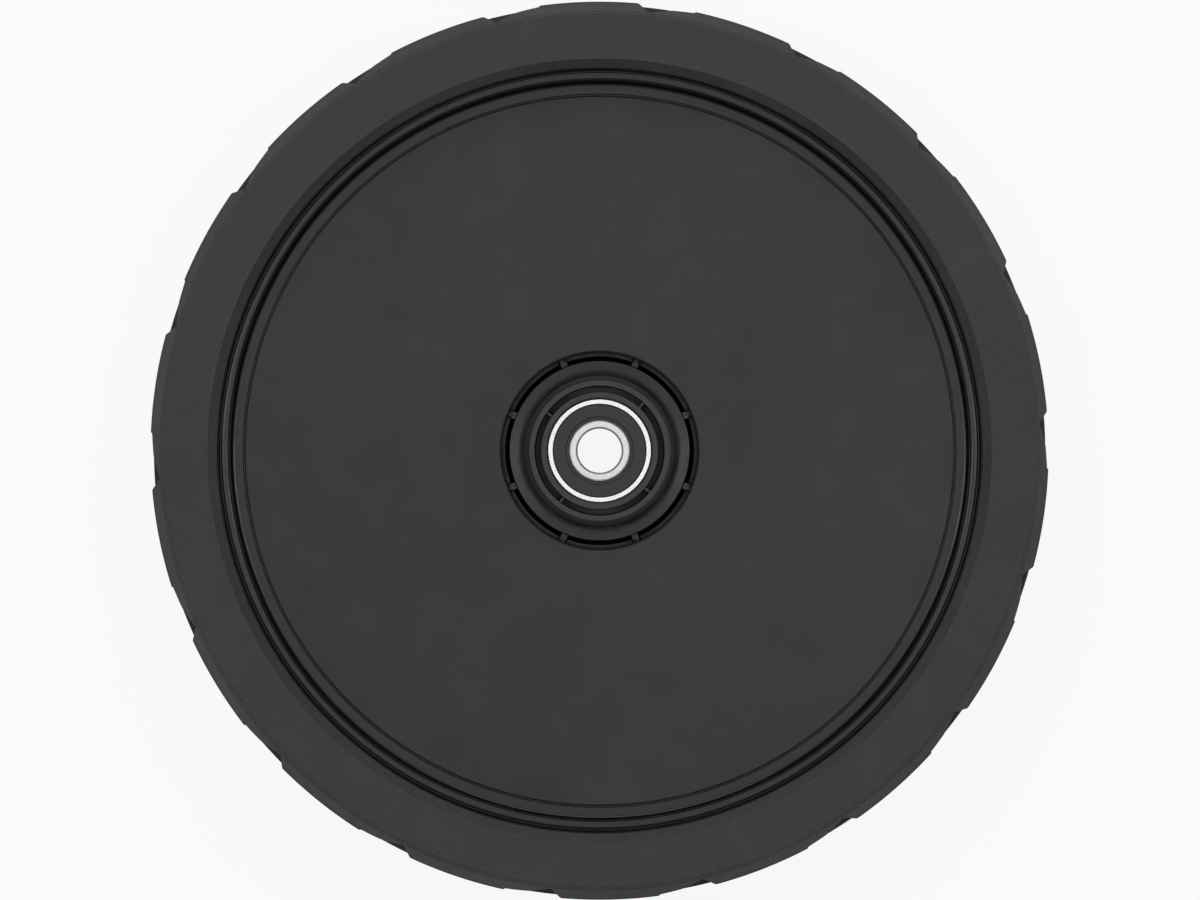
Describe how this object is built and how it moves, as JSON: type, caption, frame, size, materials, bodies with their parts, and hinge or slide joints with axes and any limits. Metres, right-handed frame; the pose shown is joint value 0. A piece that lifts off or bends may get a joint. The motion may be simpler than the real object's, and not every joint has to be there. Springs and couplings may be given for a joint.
{
  "type": "wheel",
  "caption": "Black moulded machine wheel with a lugged tyre, a flat snap-in cover disc and sealed ball bearings in an open hub.",
  "frame": {"origin": "centre of the wheel, on the axle line at the middle of its width", "axes": "+Z along the axle line out of the covered face, which looks up while the wheel lies on its far sidewall; +X to the right and +Y up in the face view"},
  "size_m": [0.24, 0.24, 0.045],
  "materials": {
    "tyre": "matte",
    "rim": "gloss",
    "cover": "satin",
    "carrier": "satin",
    "ring_steel": "satin",
    "seal": "matte",
    "cage": "satin",
    "ball": "polished",
    "spacer": "satin"
  },
  "bodies": {
    "wheel": {"tyre": "tyre", "rim": "rim", "cover_disc": "cover", "near_carrier": "carrier", "far_carrier": "carrier", "near_outer_ring": "ring_steel", "far_outer_ring": "ring_steel", "near_seal_outboard": "seal", "near_seal_inboard": "seal", "far_seal_outboard": "seal", "far_seal_inboard": "seal"},
    "near_ring": {"near_inner_ring": "ring_steel", "spacer_tube": "spacer"},
    "far_ring": {"far_inner_ring": "ring_steel"},
    "near_ball_set": {"near_cage_outboard": "cage", "near_cage_inboard": "cage", "near_cage_rivets": "cage", "near_ball_1": "ball", "near_ball_2": "ball", "near_ball_3": "ball", "near_ball_4": "ball", "near_ball_5": "ball", "near_ball_6": "ball", "near_ball_7": "ball", "near_ball_8": "ball"},
    "far_ball_set": {"far_cage_outboard": "cage", "far_cage_inboard": "cage", "far_cage_rivets": "cage", "far_ball_1": "ball", "far_ball_2": "ball", "far_ball_3": "ball", "far_ball_4": "ball", "far_ball_5": "ball", "far_ball_6": "ball", "far_ball_7": "ball", "far_ball_8": "ball"}
  },
  "joints": [
    {"name": "near_ring_spin", "type": "hinge", "parent": "wheel", "child": "near_ring", "pos_m": [0, 0, 0.016], "axis": [0, 0, 1], "continuous": true},
    {"name": "far_ring_spin", "type": "hinge", "parent": "wheel", "child": "far_ring", "pos_m": [0, 0, -0.016], "axis": [0, 0, 1], "continuous": true},
    {"name": "near_cage_spin", "type": "hinge", "parent": "wheel", "child": "near_ball_set", "pos_m": [0, 0, 0.016], "axis": [0, 0, 1], "continuous": true},
    {"name": "far_cage_spin", "type": "hinge", "parent": "wheel", "child": "far_ball_set", "pos_m": [0, 0, -0.016], "axis": [0, 0, 1], "continuous": true}
  ],
  "couplings": [
    {"joint": "near_cage_spin", "follows": "near_ring_spin", "ratio": 0.38095},
    {"joint": "far_cage_spin", "follows": "far_ring_spin", "ratio": 0.38095}
  ]
}
